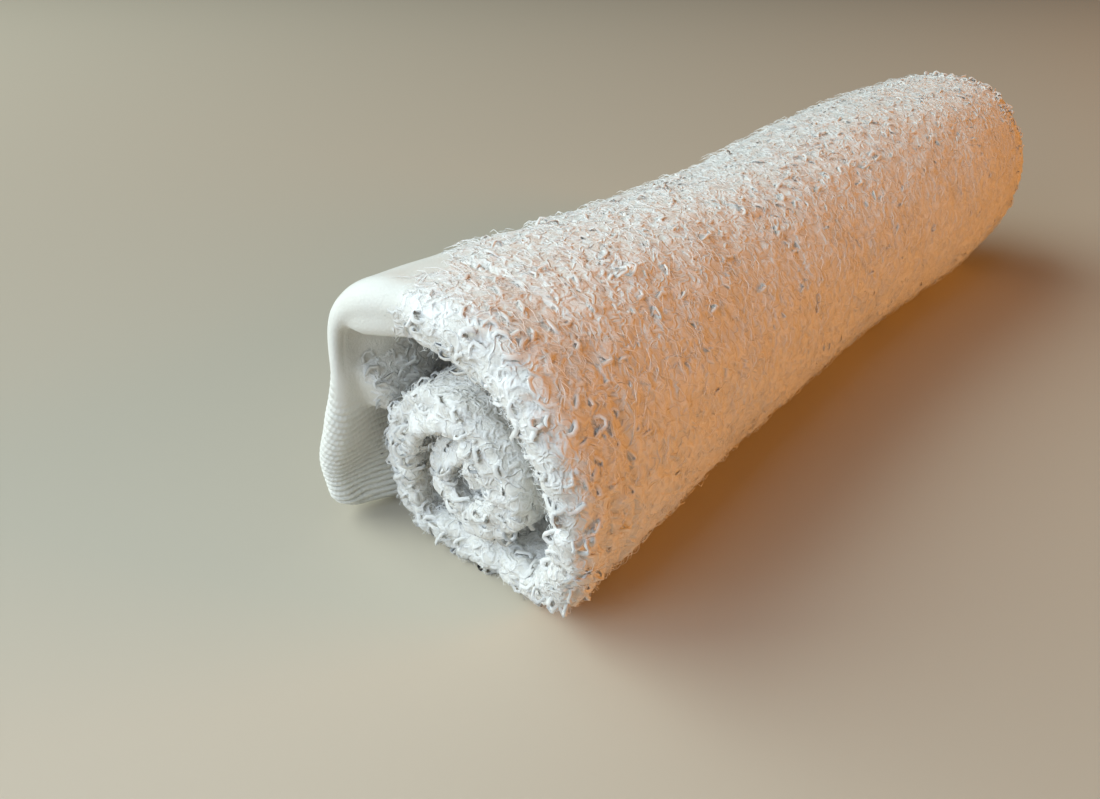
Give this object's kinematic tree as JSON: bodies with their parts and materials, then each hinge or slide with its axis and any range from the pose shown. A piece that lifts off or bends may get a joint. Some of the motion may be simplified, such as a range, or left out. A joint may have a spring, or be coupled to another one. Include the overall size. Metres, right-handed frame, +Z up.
{
  "type": "rolled oshibori towel",
  "caption": "Small white terry towel folded in half and rolled into a loose log, with a smooth ribbed hem standing off at one side.",
  "frame": {"origin": "middle of the bounding box's underside, at the height of the surface that the roll lies on", "axes": "+X along the roll from the folded end to the cut edges, +Y towards the loose hem, +Z up"},
  "size_m": [0.1512, 0.0438, 0.0404],
  "materials": {
    "terry": "white cotton terry, looped on both faces, with a smooth ribbed hem band"
  },
  "bodies": {
    "root": {"towel": "terry"}
  },
  "joints": []
}
